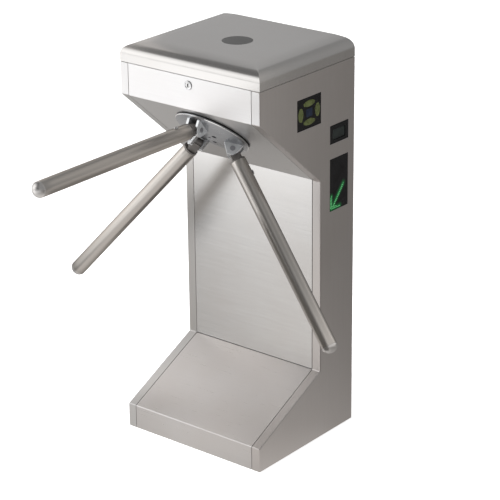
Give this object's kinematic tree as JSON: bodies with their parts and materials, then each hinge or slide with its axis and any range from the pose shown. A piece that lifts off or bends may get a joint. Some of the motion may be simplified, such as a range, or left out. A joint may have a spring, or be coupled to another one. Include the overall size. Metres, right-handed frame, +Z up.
{
  "type": "tripod turnstile",
  "caption": "Free-standing stainless tripod turnstile: a C-shaped cabinet with a slanted hub whose tubular arms turn and drop, a hinged locking lid and indicator windows on one side.",
  "frame": {"origin": "centre of the floor anchor pattern, on the floor", "axes": "+Z up; the passage side with the lock and the hub faces -Y; +X is the side with the windows"},
  "size_m": [0.8264, 0.8876, 1.0001],
  "materials": {
    "cabinet_steel": "brushed sheet",
    "galvanised_steel": "galvanised",
    "knuckle_grey": "satin dark grey",
    "arm_steel": "ground tube",
    "cap_chrome": "polished",
    "screw_dark": "blackened",
    "fastener_steel": "plain",
    "lock_chrome": "polished",
    "black_acrylic": "gloss black",
    "petal_green": "olive green lens",
    "light_green": "lit green",
    "display_grey": "dark display",
    "seal_rubber": "matt black",
    "disc_grey": "matt grey",
    "hub_alloy": "polished casting",
    "board_green": "solder mask",
    "case_alloy": "perforated case",
    "black_housing": "black",
    "cast_grey": "machined casting",
    "machine_steel": "machined"
  },
  "bodies": {
    "cabinet": {"left_side_panel": "cabinet_steel", "right_side_panel": "cabinet_steel", "base_plate": "galvanised_steel", "head_front_panel": "cabinet_steel", "column_front_panel": "cabinet_steel", "base_cover": "cabinet_steel", "rear_cover": "cabinet_steel", "rear_top_rail": "cabinet_steel", "cover_screws": "fastener_steel", "cabinet_hinge_leaves": "fastener_steel", "lid_hinge_pins": "fastener_steel", "lock_barrel": "lock_chrome", "reader_panel": "black_acrylic", "reader_petals": "petal_green", "counter_bezel": "black_acrylic", "counter_display": "display_grey", "arrow_window": "black_acrylic", "arrow_lights": "light_green", "hub_seal_ring": "seal_rubber", "mechanism_plate": "galvanised_steel", "bearing_housing": "cast_grey", "shaft_bearings": "machine_steel", "rotary_damper": "black_housing", "detent_spring": "machine_steel", "lock_solenoid": "black_housing", "release_solenoid": "black_housing", "electronics_tray": "galvanised_steel", "control_board": "board_green", "power_supply": "case_alloy"},
    "lid": {"top_lid": "cabinet_steel", "reader_disc": "disc_grey", "lid_striker": "galvanised_steel", "lid_hinge_leaves": "fastener_steel"},
    "lock_plug": {"lock_plug": "lock_chrome", "lock_cam": "lock_chrome"},
    "hub": {"hub_plate": "hub_alloy", "hub_screws": "screw_dark", "pivot_pins": "screw_dark", "main_shaft": "machine_steel", "hub_gear": "machine_steel", "index_cam": "machine_steel", "lock_wheel": "machine_steel"},
    "top_arm": {"top_arm_knuckle": "knuckle_grey", "top_arm_tube": "arm_steel", "top_arm_cap": "cap_chrome", "top_arm_screw": "screw_dark"},
    "left_arm": {"left_arm_knuckle": "knuckle_grey", "left_arm_tube": "arm_steel", "left_arm_cap": "cap_chrome", "left_arm_screw": "screw_dark"},
    "right_arm": {"right_arm_knuckle": "knuckle_grey", "right_arm_tube": "arm_steel", "right_arm_cap": "cap_chrome", "right_arm_screw": "screw_dark"},
    "damper_pinion": {"damper_pinion": "machine_steel"},
    "detent_lever": {"detent_lever": "machine_steel"},
    "detent_roller": {"detent_roller": "machine_steel"},
    "lock_pawl": {"lock_pawl": "machine_steel"},
    "solenoid_plunger": {"solenoid_plunger": "machine_steel"},
    "release_rod": {"release_rod": "machine_steel"}
  },
  "joints": [
    {"name": "hub_turn", "type": "hinge", "parent": "cabinet", "child": "hub", "pos_m": [0, -0.08998, 0.80057], "axis": [0, -0.6543, -0.7562], "continuous": true},
    {"name": "top_arm_drop", "type": "hinge", "parent": "hub", "child": "top_arm", "pos_m": [0, -0.15398, 0.82289], "axis": [1, 0, 0], "range_deg": [0, 90]},
    {"name": "left_arm_drop", "type": "hinge", "parent": "hub", "child": "left_arm", "pos_m": [-0.05456, -0.08252, 0.76106], "axis": [0.5, 0.6549, -0.5666], "range_deg": [-45, 0]},
    {"name": "right_arm_drop", "type": "hinge", "parent": "hub", "child": "right_arm", "pos_m": [0.05456, -0.08252, 0.76106], "axis": [0.5, -0.6549, 0.5666], "range_deg": [-45, 0]},
    {"name": "lid_open", "type": "hinge", "parent": "cabinet", "child": "lid", "pos_m": [0, 0.1926, 0.9555], "axis": [-1, 0, 0], "range_deg": [0, 80]},
    {"name": "lock_turn", "type": "hinge", "parent": "cabinet", "child": "lock_plug", "pos_m": [0, -0.176, 0.934], "axis": [0, 1, 0], "range_deg": [0, 90]},
    {"name": "damper_spin", "type": "hinge", "parent": "cabinet", "child": "damper_pinion", "pos_m": [-0.0783, -0.0324, 0.86712], "axis": [0, -0.6543, -0.7562], "continuous": true},
    {"name": "detent_lift", "type": "hinge", "parent": "cabinet", "child": "detent_lever", "pos_m": [0.058, -0.05844, 0.91345], "axis": [0, 0.6543, 0.7562], "range_deg": [0, 6], "stiffness_Nm_per_rad": 4, "springref_deg": -5.73, "deforming": ["detent_spring"]},
    {"name": "roller_spin", "type": "hinge", "parent": "detent_lever", "child": "detent_roller", "pos_m": [0, -0.06584, 0.91192], "axis": [0, -0.6543, -0.7562], "continuous": true},
    {"name": "pawl_swing", "type": "hinge", "parent": "cabinet", "child": "lock_pawl", "pos_m": [0.03466, 0.03773, 0.83818], "axis": [0, -0.6543, -0.7562], "range_deg": [0, 10.2]},
    {"name": "plunger_slide", "type": "slide", "parent": "cabinet", "child": "solenoid_plunger", "axis": [-0.866, -0.3781, 0.3272], "range_m": [0, 0.0078]},
    {"name": "release_pull", "type": "slide", "parent": "cabinet", "child": "release_rod", "axis": [0, 0.6543, 0.7562], "range_m": [0, 0.006]}
  ],
  "couplings": [
    {"joint": "damper_spin", "follows": "hub_turn", "ratio": -2.25},
    {"joint": "plunger_slide", "follows": "pawl_swing", "m_per_rad": 0.043}
  ]
}
